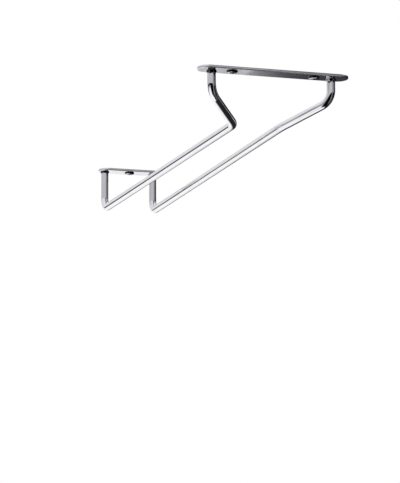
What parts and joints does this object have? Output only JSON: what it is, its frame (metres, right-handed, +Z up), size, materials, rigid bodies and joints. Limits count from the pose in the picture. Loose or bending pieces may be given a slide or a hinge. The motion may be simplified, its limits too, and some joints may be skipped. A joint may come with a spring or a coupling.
{
  "type": "hanging wine glass rack",
  "caption": "Under-shelf rack for stemmed glasses: bent round rods form a pair of rails with a flared mouth, welded to flat strips with screw holes, all chromed.",
  "frame": {"origin": "middle of the front strip's top face, midway between its screw holes, in the plane of the shelf's underside", "axes": "+X to the right, +Y from the open front mouth to the back along the rails, +Z up into the shelf"},
  "size_m": [0.11, 0.3735, 0.0359],
  "materials": {
    "strip_chrome": "bright chrome plate on flat steel bar",
    "rod_chrome": "bright chrome plate on round steel wire",
    "weld_chrome": "chrome plate over a slightly uneven weld bead"
  },
  "bodies": {
    "root": {"front_strip": "strip_chrome", "back_strip": "strip_chrome", "left_rail": "rod_chrome", "right_rail": "rod_chrome", "weld_front_left": "weld_chrome", "weld_front_right": "weld_chrome", "weld_back_left": "weld_chrome", "weld_back_right": "weld_chrome"}
  },
  "joints": []
}
